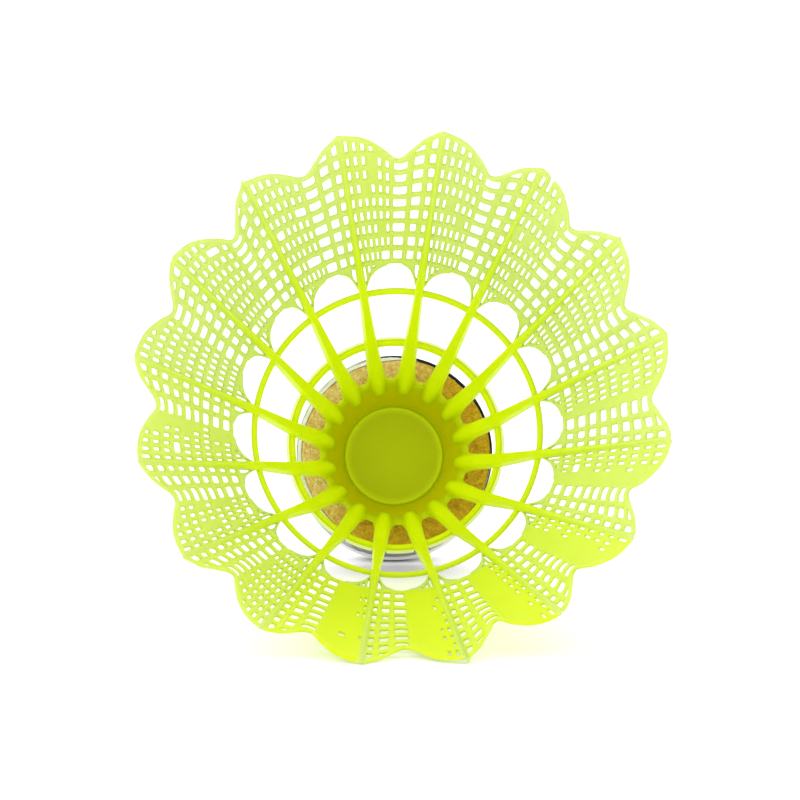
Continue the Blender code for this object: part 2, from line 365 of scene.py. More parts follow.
ROW_KINDS += ["hoop"] * 3 + ["rib"] * 6 + ["hoop"] * 3 + ["rib"] * 4
# Tones along the lower hoop's outside: a painted shadow line at the core's edge, and pale on the thin lip,
# partly as thin nylon and partly as a painted highlight
LIP_PAINTED_TONES = {FOOT_ROW + 10: 0.1, FOOT_ROW + 11: 1.0, FOOT_ROW + 12: 1.0, FOOT_ROW + 13: 1.0}
# Rows of the plug: (inner radius, inner depth, outer radius, outer depth)
PLUG_ROWS = (
    (8.05, 61.0, 9.25, 61.3), (7.45, 62.5, 8.85, 63.2), (7.05, 63.4, 8.50, 64.9),
    (6.95, 63.66, 8.26, 66.1), (6.84, 63.74, 8.16, 66.35), (6.72, 63.74, 8.0, PLUG_BOTTOM),
    (6.65, 63.66, 7.7, PLUG_BOTTOM), (6.58, 63.50, 7.4, PLUG_BOTTOM), (6.40, 63.44, 7.0, PLUG_BOTTOM),
    (6.25, 63.52, 6.5, PLUG_BOTTOM), (6.10, 63.68, 6.0, PLUG_BOTTOM), (3.0, 63.72, 3.0, PLUG_BOTTOM),
)
ROW_KINDS += ["collar"] * (3 + len(PLUG_ROWS))


def line_turn(line, depth, sector):
    """Angle of a line at a depth, in degrees: the vane's columns make room for the widening rib."""
    angle, side = LINES[line]
    half = math.degrees(rib_half_width(depth) / cone_radius(depth))
    start = FIRST_RIB + sector * PITCH
    if side is not None:
        if abs(side) < 1.0:
            side *= 2.0 * fin_share(depth)
        return start + side * half
    return line_turn_at(angle, depth, sector)


def rib_of(sector, place):
    """The nearer of the two ribs beside a sector."""
    return (sector + (1 if place > 0.5 * PITCH else 0)) % RIBS


def line_turn_at(angle, depth, sector):
    """Turn of an angle of the vane, where the columns are pressed together between the ribs."""
    half = math.degrees(rib_half_width(depth) / cone_radius(depth))
    first, last = LINES[RIB_LINES][0], LINES[-1][0]
    left = max(first, half + BESIDE_RIB)
    right = min(last, PITCH - half - BESIDE_RIB)
    share = (angle - first) / (last - first)
    return FIRST_RIB + sector * PITCH + left + share * (right - left)


def wall_radii(line, depth, turn, sector, kind):
    """Outer and inner radius of the moulding on a line."""
    angle, side = LINES[line]
    outer = cone_radius(depth) + ground_bend(turn, depth)
    run = min(1.0, max(0.0, (FOLD_RUNOUT - depth) / (FOLD_RUNOUT - 4.0)))
    place = angle if side is None else (turn - FIRST_RIB) % PITCH
    depth_of_fold = FOLD_DEPTHS[sector if place < PITCH - 2.0 else sector - 1]
    outer -= depth_of_fold * run * fold(place)
    outer += RIB_FLARES[rib_of(sector, place)] * max(0.0, 1.0 - depth / UPPER_MIDDLE) ** 1.5
    if side is None:
        if kind == "hoop" and depth > 0.5 * (UPPER_MIDDLE + LOWER_MIDDLE):
            far_side = depth > LOWER_HOOP[0] + 0.45 * (LOWER_HOOP[1] - LOWER_HOOP[0])
            return outer + (HOOP_LIP if far_side else -HOOP_INSET), outer - HOOP_DEPTH - HOOP_INSET
        if kind in ("hoop", "collar"):
            return outer, outer - HOOP_DEPTH
        return outer, outer - SHEET
    proud = 0.10 if depth < COLLAR_TOP - 3.0 else 0.0
    if abs(side) < 1.0:
        return outer + proud, outer - rib_depth(depth)
    flange = interp(depth, (0.0, SHEET), (29.0, 0.50), (36.0, 0.75), (50.0, 0.95), (58.0, 1.1))
    return outer + 0.5 * proud, outer - flange


def flash(sector, line, row):
    """Share by which the moulding's flash narrows the cell beside a line."""
    cell_row = (row - TIP_ROWS) // POINTS_DOWN
    chance = noise.noise(Vector((3.7 * sector + 0.9 * line_cell(line), 1.3 * cell_row, 4.0)))
    closing = 0.35 * FLASHED[sector] if line_cell(line) < NARROW_COLUMNS else 0.0
    return 0.06 + closing + 0.45 * max(-0.15, chance)


def line_cell(line):
    """The lattice column that a line borders or crosses, or None on a rib."""
    if line < RIB_LINES:
        return None
    return CELLS[line] if CELLS[line] is not None else CELLS[line - 1]


def tone_of(side, depth, kind, inside):
    """Nylon's tone: 0 in the plug, 0.1 on its pad, 0.3 in the ribs and 0.9 where it is a thin sheet.

    Only the lower hoop's lip has 1, pale partly as a painted highlight."""
    # painted shade: inside the plug the tones fall to dark olive deep in the cone, while its outside keeps
    # the ribs' 0.3
    if depth > COLLAR_TOP - 3.5:
        if not inside:
            return 0.3
        if depth > PLUG_WELL - 0.6:
            # painted highlight: the pad's raised bead gets a lighter tone (0.22) than the pad (0.1)
            return 0.22 if depth < 63.53 else 0.1
        if side is not None and abs(side) < 1.0:
            return interp(depth, (58.5, 0.3), (60.2, 0.25), (61.2, 0.02))
        return interp(depth, (55.0, 0.28), (59.0, 0.10), (60.5, 0.02))
    if side is not None:
        return interp(depth, (0.0, 0.85), (10.0, 0.65), (25.0, 0.40), (34.0, 0.3))
    if kind == "hoop":
        return 0.3 if inside else 0.4
    return interp(depth, (28.0, 0.9), (36.0, 0.75))


def grid_points():
    """Outer and inner points of the skirt, as lists [column][row] of (point, tone)."""
    outer_columns, inner_columns = [], []
    for sector in range(RIBS):
        for line, (angle, side) in enumerate(LINES):
            rows = vane_depths(angle) + lower_depths(angle if side is None else 0.0)
            cell = line_cell(line)
            outer, inner = [], []
            for row, depth in enumerate(rows):
                turn = line_turn(line, depth, sector)
                if cell is not None and row < VANE_ROWS:
                    narrowed = flash(sector, line, row)
                    middle = line_turn_at(CELL_MIDDLES[cell], depth, sector)
                    turn = middle + (turn - middle) * (1.0 - narrowed)
                    if row >= TIP_ROWS:
                        first = FIRST_CELL + (row - TIP_ROWS) // POINTS_DOWN * CELL_PITCH
                        centre = first + 0.5 * CELL_HEIGHT
                        depth = centre + (depth - centre) * (1.0 - 0.6 * narrowed)
                    turn += 0.10 * noise.noise(Vector((5.3 * sector + 1.1 * cell, 0.3 * row, 2.0)))
                    depth += 0.08 * noise.noise(Vector((5.3 * sector + 0.5 * line, 0.9 * row, 7.0)))
                near = ROW_KINDS[max(0, row - 1):row + 1]
                kind = "hoop" if "hoop" in near else "collar" if depth > 55.5 else "vane"
                radius_out, radius_in = wall_radii(line, depth, turn, sector, kind)
                if depth > PLUG_WALL[0][0]:
                    wall = interp(depth, *PLUG_WALL)
                    fin = side is not None and abs(side) < 1.0
                    radius_in = min(wall, max(FIN_FOOT_RADIUS, radius_in)) if fin else wall
                thinness = 1.0
                if side is None and row < VANE_ROWS:
                    thinness -= DEEPER[sector]
                    if cell is not None and cell < NARROW_COLUMNS:
                        thinness -= FLASHED_TONE * FLASHED[sector]
                tone = tone_of(side, depth, kind, False) * thinness
                if side is None and row in LIP_PAINTED_TONES:
                    tone = LIP_PAINTED_TONES[row]
                outer.append((polar(radius_out, turn, depth), tone))
                tone = tone_of(side, depth, kind, True) * thinness
                inner.append((polar(radius_in, turn, depth), tone))
            turn = line_turn(line, CORK_FACE, sector)
            for radius_in, depth_in, radius_out, depth_out in PLUG_ROWS:
                outer.append((polar(radius_out, turn, depth_out), 0.3))
                inner.append((polar(radius_in, turn, depth_in), tone_of(side, depth_in, "collar", True)))
            outer_columns.append(outer)
            inner_columns.append(inner)
    return outer_columns, inner_columns


def polar(radius, turn, depth):
    """A point of the upright frame, in metres."""
    a = turn * DEG
    return Vector((radius * math.sin(a), radius * math.cos(a), LENGTH - depth)) * MM


def web_is_open(middle):
    """True where the arch leaves no web under the vane's lowest bar."""
    return foot_depth(middle) - LAST_BAR < LEAST_WEB


def web_cell_height(middle):
    """Height of the opening in the web beside an arch."""
    return foot_depth(middle) - strip_height(middle) - LAST_BAR


def closed_cells():
    """Cells that the moulding's flash has filled, as (sector, column, row)."""
    rng = random.Random(16)
    filled = {(15, 3, 0), (15, 3, 1), (1, 4, 0), (1, 4, 1)}
    for sector in range(RIBS):
        for column in range(NARROW_COLUMNS):
            for row in ("tip", *range(CELL_ROWS)):
                here = column + rng.uniform(-0.9, 0.9) > NARROW_COLUMNS * (1.0 - FLASHED[sector])
                if here or rng.random() < FLASHED_ELSEWHERE:
                    filled.add((sector, column, row))
    return filled


def broken_bars():
    """Bars between narrow cells that have torn out, as (sector, gap between lines, row)."""
    rng = random.Random(23)
    broken = set()
    for sector in range(RIBS):
        for column in range(NARROW_COLUMNS - 1):
            for row in range(CELL_ROWS):
                if rng.random() < 0.012 + (0.05 if row > 5 else 0.0):
                    broken.add((sector, RIB_LINES + 1 + 2 * column, row))
    return broken


FILLED = closed_cells()
BROKEN = broken_bars()
TORN = (1, 1)                # sector and column where the rim is nicked


def is_solid(sector, gap, row):
    """True where the moulding has material, for a gap between lines and a gap between rows."""
    kind = ROW_KINDS[row]
    cell = CELLS[gap]
    if kind == "rib":
        return gap in RIB_GAPS
    if gap in RIB_GAPS or kind in ("bar", "hoop", "collar"):
        return True
    if kind == "rim":
        return (sector, cell) != TORN
    if cell is None:
        if (sector, gap, kind) in BROKEN:
            return False
        middle = 0.5 * (LINES[gap][0] + (LINES[gap + 1][0] if gap + 1 < len(LINES) else PITCH))
        return kind not in ("web", "strip") or not web_is_open(middle)
    middle = CELL_MIDDLES[cell]
    if kind == "tip":
        open_height = FIRST_CELL - (CELL_PITCH - CELL_HEIGHT) - rim_depth(middle) - RIM_BAND
        return open_height < LEAST_TIP_CELL or (sector, cell, kind) in FILLED
    if kind in ("web", "strip"):
        if web_is_open(middle):
            return False
        return kind == "strip" or web_cell_height(middle) < LEAST_WEB_CELL
    return (sector, cell, kind) in FILLED


def close_middle(mesh):
    """Flat faces over the two round openings left in the plug's floor."""
    bm = bmesh.new()
    bm.from_mesh(mesh)
    bmesh.ops.holes_fill(bm, edges=[edge for edge in bm.edges if edge.is_boundary], sides=0)
    bm.to_mesh(mesh)
    bm.free()


def skirt_mesh():
    """Both surfaces of the skirt and the walls round every opening, as one closed mesh."""
    outer, inner = grid_points()
    columns, rows = len(outer), len(outer[0])
    gaps = len(LINES)
    solid = [[is_solid(c // gaps, c % gaps, r) for r in range(rows - 1)] for c in range(columns)]
    bm = bmesh.new()
    tones = bm.verts.layers.float.new("tone")
    outsides = bm.verts.layers.float.new("outside")
    creases = bm.edges.layers.float.new("crease_edge")
    made = {}

    def vertex(side, column, row):
        key = (side, column % columns, row)
        if key not in made:
            point, tone = (outer, inner)[side][column % columns][row]
            made[key] = bm.verts.new(point)
            made[key][tones] = tone
            # painted shade on the skirt's outer side, weaker on the rim
            if side == 0 and row not in LIP_PAINTED_TONES:
                made[key][outsides] = 1.0 if row > 0 else RIM_PAINTED_SHADE
        return made[key]

    def wall(first, second):
        """A face through the thickness, from the outer edge first-second to the inner one."""
        bm.faces.new((vertex(0, *first), vertex(0, *second), vertex(1, *second), vertex(1, *first)))

    for c in range(columns):
        for r in range(rows - 1):
            if not solid[c][r]:
                continue
            corners = ((c, r), (c + 1, r), (c + 1, r + 1), (c, r + 1))
            bm.faces.new([vertex(0, *corner) for corner in corners])
            bm.faces.new([vertex(1, *corner) for corner in reversed(corners)])
            if r == 0 or not solid[c][r - 1]:
                wall(corners[1], corners[0])
            if r < rows - 2 and not solid[c][r + 1]:
                wall(corners[3], corners[2])
            if not solid[c - 1][r]:
                wall(corners[0], corners[3])
            if not solid[(c + 1) % columns][r]:
                wall(corners[2], corners[1])
    for c in range(columns):
        if c % gaps not in FIN_LINES:
            continue
        for r in range(FOOT_ROW, rows - len(PLUG_ROWS)):
            edge = bm.edges.get((vertex(1, c, r), vertex(1, c, r + 1)))
            edge[creases] = FIN_CREASE
    mesh = subdivided(mesh_from(bm, "lattice_cage"))
    mesh.name = "skirt_lattice"
    close_middle(mesh)
    return mesh


# ---------------------------------------------------------------- the cork, its cover and its ribbon
CORK_TOP = 24.0              # heights and radii of the three turned pieces
CORK_SIDE = 12.9             # nominal, at the upper edge
CORK_WAIST = 12.52           # where cork and cover meet, further down
DOME_RADIUS = 13.4
COVER_THICKNESS = 0.4
COVER_UNDER_RIBBON = 12.97
RIBBON_WIDTH = 8.0
RIBBON_SLANT = 1.1           # how much lower its far edge runs on the floor's side
RIBBON_RADIUS = 13.15
RIBBON_THICKNESS = 0.15
RIBBON_FOLD = 0.47           # widest part of the ribbon's edge that is folded over the cork
RIBBON_END = 205.0           # turn where the ribbon's outer end lies over its start
COVER_EDGE_TURN = 290.0      # middle of the stretch where the cover's own edge shows
NOSE_GREY = (0.54, 0.535, 0.52)  # the leather where the racket has hit it
CORK_PAINTED_SHADE = (-0.018, -0.006)    # painted shade for the plug's shadow: metres from upper left to lower right over which the cork darkens
FOLD_TURN = 40.0             # where the ribbon is folded over most


def turns_apart(first, second):
    """Degrees between two turns, the short way round."""
    return abs((first - second + 180.0) % 360.0 - 180.0)


def smoothstep(edge0, edge1, x):
    """0 below the first edge, 1 past the second and an even slope between them."""
    share = min(1.0, max(0.0, (x - edge0) / (edge1 - edge0)))
    return share * share * (3.0 - 2.0 * share)


def in_space(radius, height, turn):
    """A turned point in millimetres, as the noise functions want it."""
    return Vector((radius * math.cos(turn * DEG), radius * math.sin(turn * DEG), height))


def turned_mesh(name, profile, steps, moved=None):
    """A turned solid from (radius, height) points; ends on the axis, or a closed loop if it has none.

    moved(radius, height, turn) returns the point's own radius and height at that angle."""
    bm = bmesh.new()
    rings = []
    for radius, height in profile:
        if radius == 0.0:
            rings.append([bm.verts.new(polar(0.0, 0.0, LENGTH - height))] * steps)
            continue
        ring = []
        for step in range(steps):
            turn = 360.0 * step / steps
            r, h = moved(radius, height, turn) if moved else (radius, height)
            ring.append(bm.verts.new(polar(r, turn, LENGTH - h)))
        rings.append(ring)
    pairs = list(zip(rings, rings[1:]))
    if profile[0][0] > 0.0:
        pairs.append((rings[-1], rings[0]))
    for lower, upper in pairs:
        for step in range(steps):
            after = (step + 1) % steps
            corners = [lower[step], lower[after], upper[after], upper[step]]
            bm.faces.new(list(dict.fromkeys(corners)))
    bmesh.ops.recalc_face_normals(bm, faces=bm.faces)
    if bm.calc_volume(signed=True) < 0.0:
        bmesh.ops.reverse_faces(bm, faces=bm.faces)
    return mesh_from(bm, name)


def arc(radius, centre, first, last, steps):
    """Points of an arc in the profile plane; angles in degrees from outwards towards the top."""
    around, height = centre
    angles = np.radians(np.linspace(first, last, steps + 1))
    return [(around + radius * math.cos(a), height + radius * math.sin(a)) for a in angles]


def lining_radius(height, turn):
    """Where cork and cover meet; near the top the cover's edge shows on one side only."""
    shows = 1.0 - smoothstep(60.0, 98.0, turns_apart(turn, COVER_EDGE_TURN))
    near_top = smoothstep(20.5, 23.0, height)
    return CORK_WAIST + (CORK_SIDE - CORK_WAIST - 0.52 * shows) * near_top


def ribbon_slant(turn):
    """The ribbon is wound a little askew: how much lower its far edge lies at a turn."""
    return RIBBON_SLANT * (1.0 - smoothstep(30.0, 120.0, turns_apart(turn, 180.0)))


def cork_mesh():
    """Pressed cork granules: chipped and pitted on the face round the plug."""
    bore = [(0.0, 17.2), (8.3, 17.2), (8.4, 17.6), (9.4, CORK_TOP - 1.0), (9.62, CORK_TOP - 0.12)]
    face = [(float(r), CORK_TOP) for r in np.arange(9.8, CORK_SIDE - 0.3, 0.13)]
    side = arc(0.22, (CORK_SIDE - 0.22, CORK_TOP - 0.22), 80.0, 0.0, 4)
    side += [(CORK_SIDE, float(h)) for h in (23.3, 22.8, 22.2, 21.6, 21.0, 20.4, 18.0, 15.0)]
    inner = CORK_WAIST
    dome = arc(inner, (0.0, DOME_RADIUS), -6.0, -84.0, 12) + [(0.0, DOME_RADIUS - inner)]

    def granules(radius, height, turn):
        if height < DOME_RADIUS or radius < 9.5:
            return radius, height
        outward = smoothstep(10.8, CORK_SIDE - 0.3, radius)
        radius += outward * (lining_radius(height, turn) - 0.02 - CORK_SIDE)
        if height < CORK_TOP - 0.6:
            return radius, height
        place = in_space(radius, height, turn)
        near = noise.voronoi(place * 1.5)[0]
        gap = min(1.0, 4.0 * (near[1] - near[0]))
        pit = smoothstep(0.30, 0.45, noise.noise(place * 0.8 + Vector((7.0, 3.0, 1.0))))
        rough = noise.fractal(place * 2.6, 1.0, 2.0, 3)
        return radius, height - 0.05 * (1.0 - gap) - 0.18 * pit + 0.04 * rough

    return turned_mesh("cork_granules", bore + face + side + dome, 480, granules)


def cover_mesh():
    """Thin leather drawn over the dome and up under the ribbon, gathered below the ribbon."""
    rng = random.Random(5)
    waves = [(rng.randint(14, 60), rng.uniform(0.0, 6.3), rng.uniform(0.4, 1.0)) for _ in range(7)]
    brink = CORK_TOP - RIBBON_WIDTH - 0.25
    dome_inside = DOME_RADIUS - COVER_THICKNESS
    inside = arc(dome_inside, (0.0, DOME_RADIUS), -88.5, -1.5, 24)
    lining = [(CORK_WAIST, float(h)) for h in np.arange(15.0, CORK_TOP - 0.2, 0.4)]
    top = [(CORK_WAIST, CORK_TOP - 0.08), (CORK_WAIST + 0.06, CORK_TOP - 0.02),
           (COVER_UNDER_RIBBON - 0.06, CORK_TOP - 0.02), (COVER_UNDER_RIBBON, CORK_TOP - 0.08)]
    hidden = [(COVER_UNDER_RIBBON, float(h)) for h in np.arange(CORK_TOP - 0.5, brink + 0.7, -0.5)]
    step = [(COVER_UNDER_RIBBON + 0.02, brink + 0.45), (COVER_UNDER_RIBBON + 0.12, brink + 0.2),
            (COVER_UNDER_RIBBON + 0.24, brink), (DOME_RADIUS - 0.12, brink - 0.4)]
    below = [(float(np.interp(h, (DOME_RADIUS, brink - 0.4), (DOME_RADIUS, DOME_RADIUS - 0.12))), float(h))
             for h in np.arange(brink - 0.7, DOME_RADIUS, -0.35)]
    outside = arc(DOME_RADIUS, (0.0, DOME_RADIUS), 0.0, -88.5, 44)
    profile = [(0.0, COVER_THICKNESS), *inside, *lining, *top, *hidden, *step, *below, *outside,
               (0.0, 0.0)]

    def gathers(radius, height, turn):
        place = in_space(radius, height, turn)
        if radius > CORK_WAIST + 0.3:
            slant = float(np.interp(height, (DOME_RADIUS, brink, CORK_TOP), (0.0, 1.0, 0.0)))
            height -= slant * ribbon_slant(turn)
        if height > brink + 0.5:
            if radius < CORK_WAIST + 0.1:
                radius += lining_radius(height, turn) + 0.02 - CORK_WAIST
            if height > CORK_TOP - 0.3:
                height += 0.10 * noise.noise(place * 1.6)
            return radius, height
        fade = math.exp(-max(0.0, brink - height) / 2.6)
        wave = sum(size * math.sin(count * turn * DEG + phase) for count, phase, size in waves)
        soft = noise.noise(place * 0.28)
        return radius + 0.022 * fade * wave + 0.05 * (soft - 0.4) * min(1.0, radius / 6.0), height

    return turned_mesh("leather_cover", profile, 360, gathers)


def ribbon_mesh():
    """Glossy ribbon wound round the cork, its edge folded over on one side, its end over its start."""
    bottom_edge = CORK_TOP - RIBBON_WIDTH
    top_edge = CORK_TOP + 0.06
    inner = RIBBON_RADIUS - RIBBON_THICKNESS
    lip = RIBBON_RADIUS - RIBBON_FOLD
    heights = [float(h) for h in np.linspace(bottom_edge + 0.2, top_edge - 0.35, 16)]
    outer_fold = arc(0.2, (RIBBON_RADIUS - 0.2, top_edge - 0.2), 0.0, 80.0, 6)
    inward = [(float(r), top_edge - 0.2 * (RIBBON_RADIUS - 0.2 - r)) for r in
              np.linspace(RIBBON_RADIUS - 0.22, lip, 4)]
    back = [(lip, top_edge - 0.16), (RIBBON_RADIUS - 0.3, top_edge - 0.14), (inner, top_edge - 0.3)]
    bottom = arc(0.07, (RIBBON_RADIUS - 0.075, bottom_edge + 0.07), 180.0, 360.0, 5)
    profile = bottom + [(RIBBON_RADIUS, h) for h in heights] + outer_fold + inward + back
    profile += [(inner, h) for h in heights[::-1]]

    def wound(radius, height, turn):
        fold = math.exp(-(turns_apart(turn, FOLD_TURN) / 40.0) ** 2)
        inwards = RIBBON_RADIUS - radius
        if inwards > RIBBON_THICKNESS:
            inwards = RIBBON_THICKNESS + (inwards - RIBBON_THICKNESS) * fold
        after_end = (turn - RIBBON_END - 1.5 * (height - 20.0)) % 360.0
        lap = 0.09 * smoothstep(0.0, 1.0, after_end) * (1.0 - smoothstep(26.0, 44.0, after_end))
        outside = 1.0 - smoothstep(0.02, 0.12, inwards)
        place = in_space(2.2, 0.12 * height, turn)
        slack = 0.02 * noise.noise(place * 1.5) + 0.008 * noise.noise(place * 7.0)
        edge = 0.05 * noise.noise(place * 2.5 + Vector((5.0, 0.0, 0.0)))
        edge -= ribbon_slant(turn) * (top_edge - height) / (top_edge - bottom_edge)
        return RIBBON_RADIUS - inwards + outside * lap + slack - 0.015, height + edge

    return turned_mesh("ribbon", profile, 480, wound)


# ---------------------------------------------------------------- materials
def plug(tree, socket, value):
    """Links a socket to another node's output, or sets it to a plain value."""
    if isinstance(value, bpy.types.NodeSocket):
        tree.links.new(value, socket)
    else:
        socket.default_value = value


def add_node(tree, kind, settings=None, **inputs):
    """A shader node; inputs are values or other nodes' outputs, spaces in names written as _."""
    made = tree.nodes.new(kind)
    for key, value in (settings or {}).items():
        setattr(made, key, value)
    for key, value in inputs.items():
        plug(tree, made.inputs[key.replace("_", " ")], value)
    return made


def maths(tree, operation, first, second):
    """The result of a Math node with two values."""
    made = add_node(tree, "ShaderNodeMath", {"operation": operation})
    plug(tree, made.inputs[0], first)
    plug(tree, made.inputs[1], second)
    return made.outputs[0]


def ramp(tree, fac, *stops):
    """Colour ramp with (place, colour) stops."""
    made = tree.nodes.new("ShaderNodeValToRGB")
    elements = made.color_ramp.elements
    while len(elements) < len(stops):
        elements.new(0.5)
    for element, (place, colour) in zip(elements, stops):
        element.position = place
        element.color = (*colour, 1.0)
    tree.links.new(fac, made.inputs["Fac"])
    return made.outputs["Color"]


def mix_colours(tree, fac, first, second, blend="MIX"):
    """The second colour over the first one; a Mix node's colour sockets have numbers of their own."""
    made = add_node(tree, "ShaderNodeMix", {"data_type": "RGBA", "blend_type": blend})
    for place, value in ((0, fac), (6, first), (7, second)):
        plug(tree, made.inputs[place], (*value, 1.0) if isinstance(value, tuple) else value)
    return made.outputs[2]


def attribute(tree, name):
    """One of the numbers that the mesh's points carry."""
    return add_node(tree, "ShaderNodeAttribute", {"attribute_name": name}).outputs["Fac"]


def threshold(tree, fac, low, high):
    """Black up to one value and white from another one on."""
    return ramp(tree, fac, (low, (0, 0, 0)), (high, (1, 1, 1)))


def noise_texture(tree, place, scale, detail=4.0, roughness=0.5):
    made = add_node(tree, "ShaderNodeTexNoise", Vector=place, Scale=scale, Detail=detail,
                    Roughness=roughness)
    return made.outputs["Fac"]


def eased(tree, value, edges, ends=(0.0, 1.0)):
    """The value brought smoothly from the range between two edges to that between two ends."""
    made = add_node(tree, "ShaderNodeMapRange", {"interpolation_type": "SMOOTHSTEP"}, Value=value,
                    From_Min=edges[0], From_Max=edges[1], To_Min=ends[0], To_Max=ends[1])
    return made.outputs[0]


def bump(tree, height, distance, strength=1.0, before=None):
    made = add_node(tree, "ShaderNodeBump", Height=height, Distance=distance, Strength=strength)
    if before:
        tree.links.new(before, made.inputs["Normal"])
    return made.outputs["Normal"]


def new_material(name):
    """A material with only its output; returns it, its tree and object coordinates."""
    mat = bpy.data.materials.new(name)
    mat.use_nodes = True
    tree = mat.node_tree
    tree.nodes.clear()
    tree.nodes.new("ShaderNodeOutputMaterial")
    place = tree.nodes.new("ShaderNodeTexCoord").outputs["Object"]
    return mat, tree, place


def to_output(tree, shader):
    output = next(n for n in tree.nodes if n.type == "OUTPUT_MATERIAL")
    tree.links.new(shader, output.inputs["Surface"])


def nylon_material():
    """Fluorescent lime nylon: deeper in the plug and darker there as painted shade, solid in the ribs,
    pale and translucent where thin.
    """
    mat, tree, place = new_material("lime_nylon")
    tone = attribute(tree, "tone")
    wear_and_highlight = attribute(tree, "wear_and_highlight")
    flow = noise_texture(tree, place, 160.0, 3.0)
    grain = noise_texture(tree, place, 2600.0, 3.0, 0.6)
    scuffs = noise_texture(tree, place, 900.0, 6.0, 0.7)
    # tones 0 and 0.1 are the plug's dark olive, painted shade; 1 is the lip's pale colour, partly a
    # painted highlight
    colour = ramp(tree, tone, (0.0, (0.56, 0.50, 0.0)), (0.1, (0.47, 0.52, 0.0)),
                  (0.3, (0.725, 0.86, 0.0)), (0.9, (0.745, 0.855, 0.26)), (1.0, (0.81, 0.88, 0.50)))
    shade = ramp(tree, flow, (0.30, (0.96, 0.97, 0.85)), (0.70, (1.0, 1.0, 1.0)))
    colour = mix_colours(tree, 1.0, colour, shade, "MULTIPLY")
    # painted shade: the outer side's colour is multiplied darker
    outside = attribute(tree, "outside")
    colour = mix_colours(tree, outside, colour, OUTSIDE_PAINTED_SHADE, "MULTIPLY")
    scuffed = maths(tree, "MULTIPLY", wear_and_highlight, threshold(tree, scuffs, 0.52, 0.66))
    colour = mix_colours(tree, maths(tree, "MULTIPLY", scuffed, 0.30), colour, (0.80, 0.90, 0.35))
    roughness = maths(tree, "ADD", 0.36, maths(tree, "MULTIPLY", scuffs, 0.16))
    normal = bump(tree, grain, 0.00004, 0.30, bump(tree, flow, 0.0004, 0.10))
    gloss = ramp(tree, tone, (0.0, (0.06, 0.06, 0.06)), (0.35, (0.12, 0.12, 0.12)),
                 (1.0, (0.35, 0.35, 0.35)))
    # painted glow: the nylon emits a little light of its own colour, partly its fluorescence and partly
    # standing for light let through it
    body = add_node(tree, "ShaderNodeBsdfPrincipled", Base_Color=colour, Roughness=roughness,
                    Normal=normal, Emission_Color=colour, Emission_Strength=0.07,
                    Specular_IOR_Level=gloss)
    through = add_node(tree, "ShaderNodeBsdfTranslucent", Color=colour, Normal=normal)
    share = ramp(tree, tone, (0.1, (0, 0, 0)), (0.3, (0.12, 0.12, 0.12)), (1.0, (0.38, 0.38, 0.38)))
    mixed = add_node(tree, "ShaderNodeMixShader", Fac=share)
    tree.links.new(body.outputs[0], mixed.inputs[1])
    tree.links.new(through.outputs[0], mixed.inputs[2])
    to_output(tree, mixed.outputs[0])
    mat.cycles.emission_sampling = "NONE"
    return mat


def cork_material():
    """Pressed granules in several browns, with dark specks and glue-dark gaps between them, and painted
    shade towards the lower right.
    """
    mat, tree, place = new_material("pressed_cork")
    warp = add_node(tree, "ShaderNodeTexNoise", Vector=place, Scale=700.0, Detail=3.0)
    shifted = add_node(tree, "ShaderNodeVectorMath", {"operation": "MULTIPLY_ADD"})
    tree.links.new(warp.outputs["Color"], shifted.inputs[0])
    shifted.inputs[1].default_value = (0.0006, 0.0006, 0.0006)
    tree.links.new(place, shifted.inputs[2])
    place = shifted.outputs[0]
    cells = add_node(tree, "ShaderNodeTexVoronoi", Vector=place, Scale=1900.0)
    edges = add_node(tree, "ShaderNodeTexVoronoi", {"feature": "DISTANCE_TO_EDGE"}, Vector=place,
                     Scale=1900.0)
    tone = add_node(tree, "ShaderNodeSeparateColor", Color=cells.outputs["Color"]).outputs[0]
    colour = ramp(tree, tone, (0.0, (0.55, 0.37, 0.09)), (0.35, (0.63, 0.44, 0.15)),
                  (0.75, (0.70, 0.52, 0.23)), (1.0, (0.58, 0.39, 0.10)))
    fine = noise_texture(tree, place, 3200.0, 5.0, 0.65)
    colour = mix_colours(tree, 0.40, colour, ramp(tree, fine, (0.3, (0.40, 0.30, 0.12)),
                                                  (0.7, (1.0, 0.94, 0.68))), "OVERLAY")
    gaps = ramp(tree, edges.outputs["Distance"], (0.0, (1, 1, 1)), (0.09, (0, 0, 0)))
    specks = threshold(tree, noise_texture(tree, place, 2300.0, 4.0, 0.7), 0.62, 0.69)
    colour = mix_colours(tree, maths(tree, "MULTIPLY", gaps, 0.20), colour, (0.28, 0.17, 0.02))
    colour = mix_colours(tree, maths(tree, "MULTIPLY", specks, 0.50), colour, (0.18, 0.10, 0.015))
    # painted shade: darker and yellower towards the lower right, for the plug's shadow and the light
    # tinted by the skirt
    across = add_node(tree, "ShaderNodeSeparateXYZ", Vector=place)
    side = maths(tree, "SUBTRACT", across.outputs["X"], maths(tree, "MULTIPLY", across.outputs["Z"], 0.6))
    painted_shade = eased(tree, side, CORK_PAINTED_SHADE)
    colour = mix_colours(tree, painted_shade, colour, (0.80, 0.68, 0.04), "MULTIPLY")
    relief = maths(tree, "SUBTRACT", fine, maths(tree, "ADD", gaps, specks))
    shader = add_node(tree, "ShaderNodeBsdfPrincipled", Base_Color=colour, Roughness=0.82,
                      Normal=bump(tree, relief, 0.00012, 0.6), Specular_IOR_Level=0.25)
    to_output(tree, shader.outputs[0])
    return mat


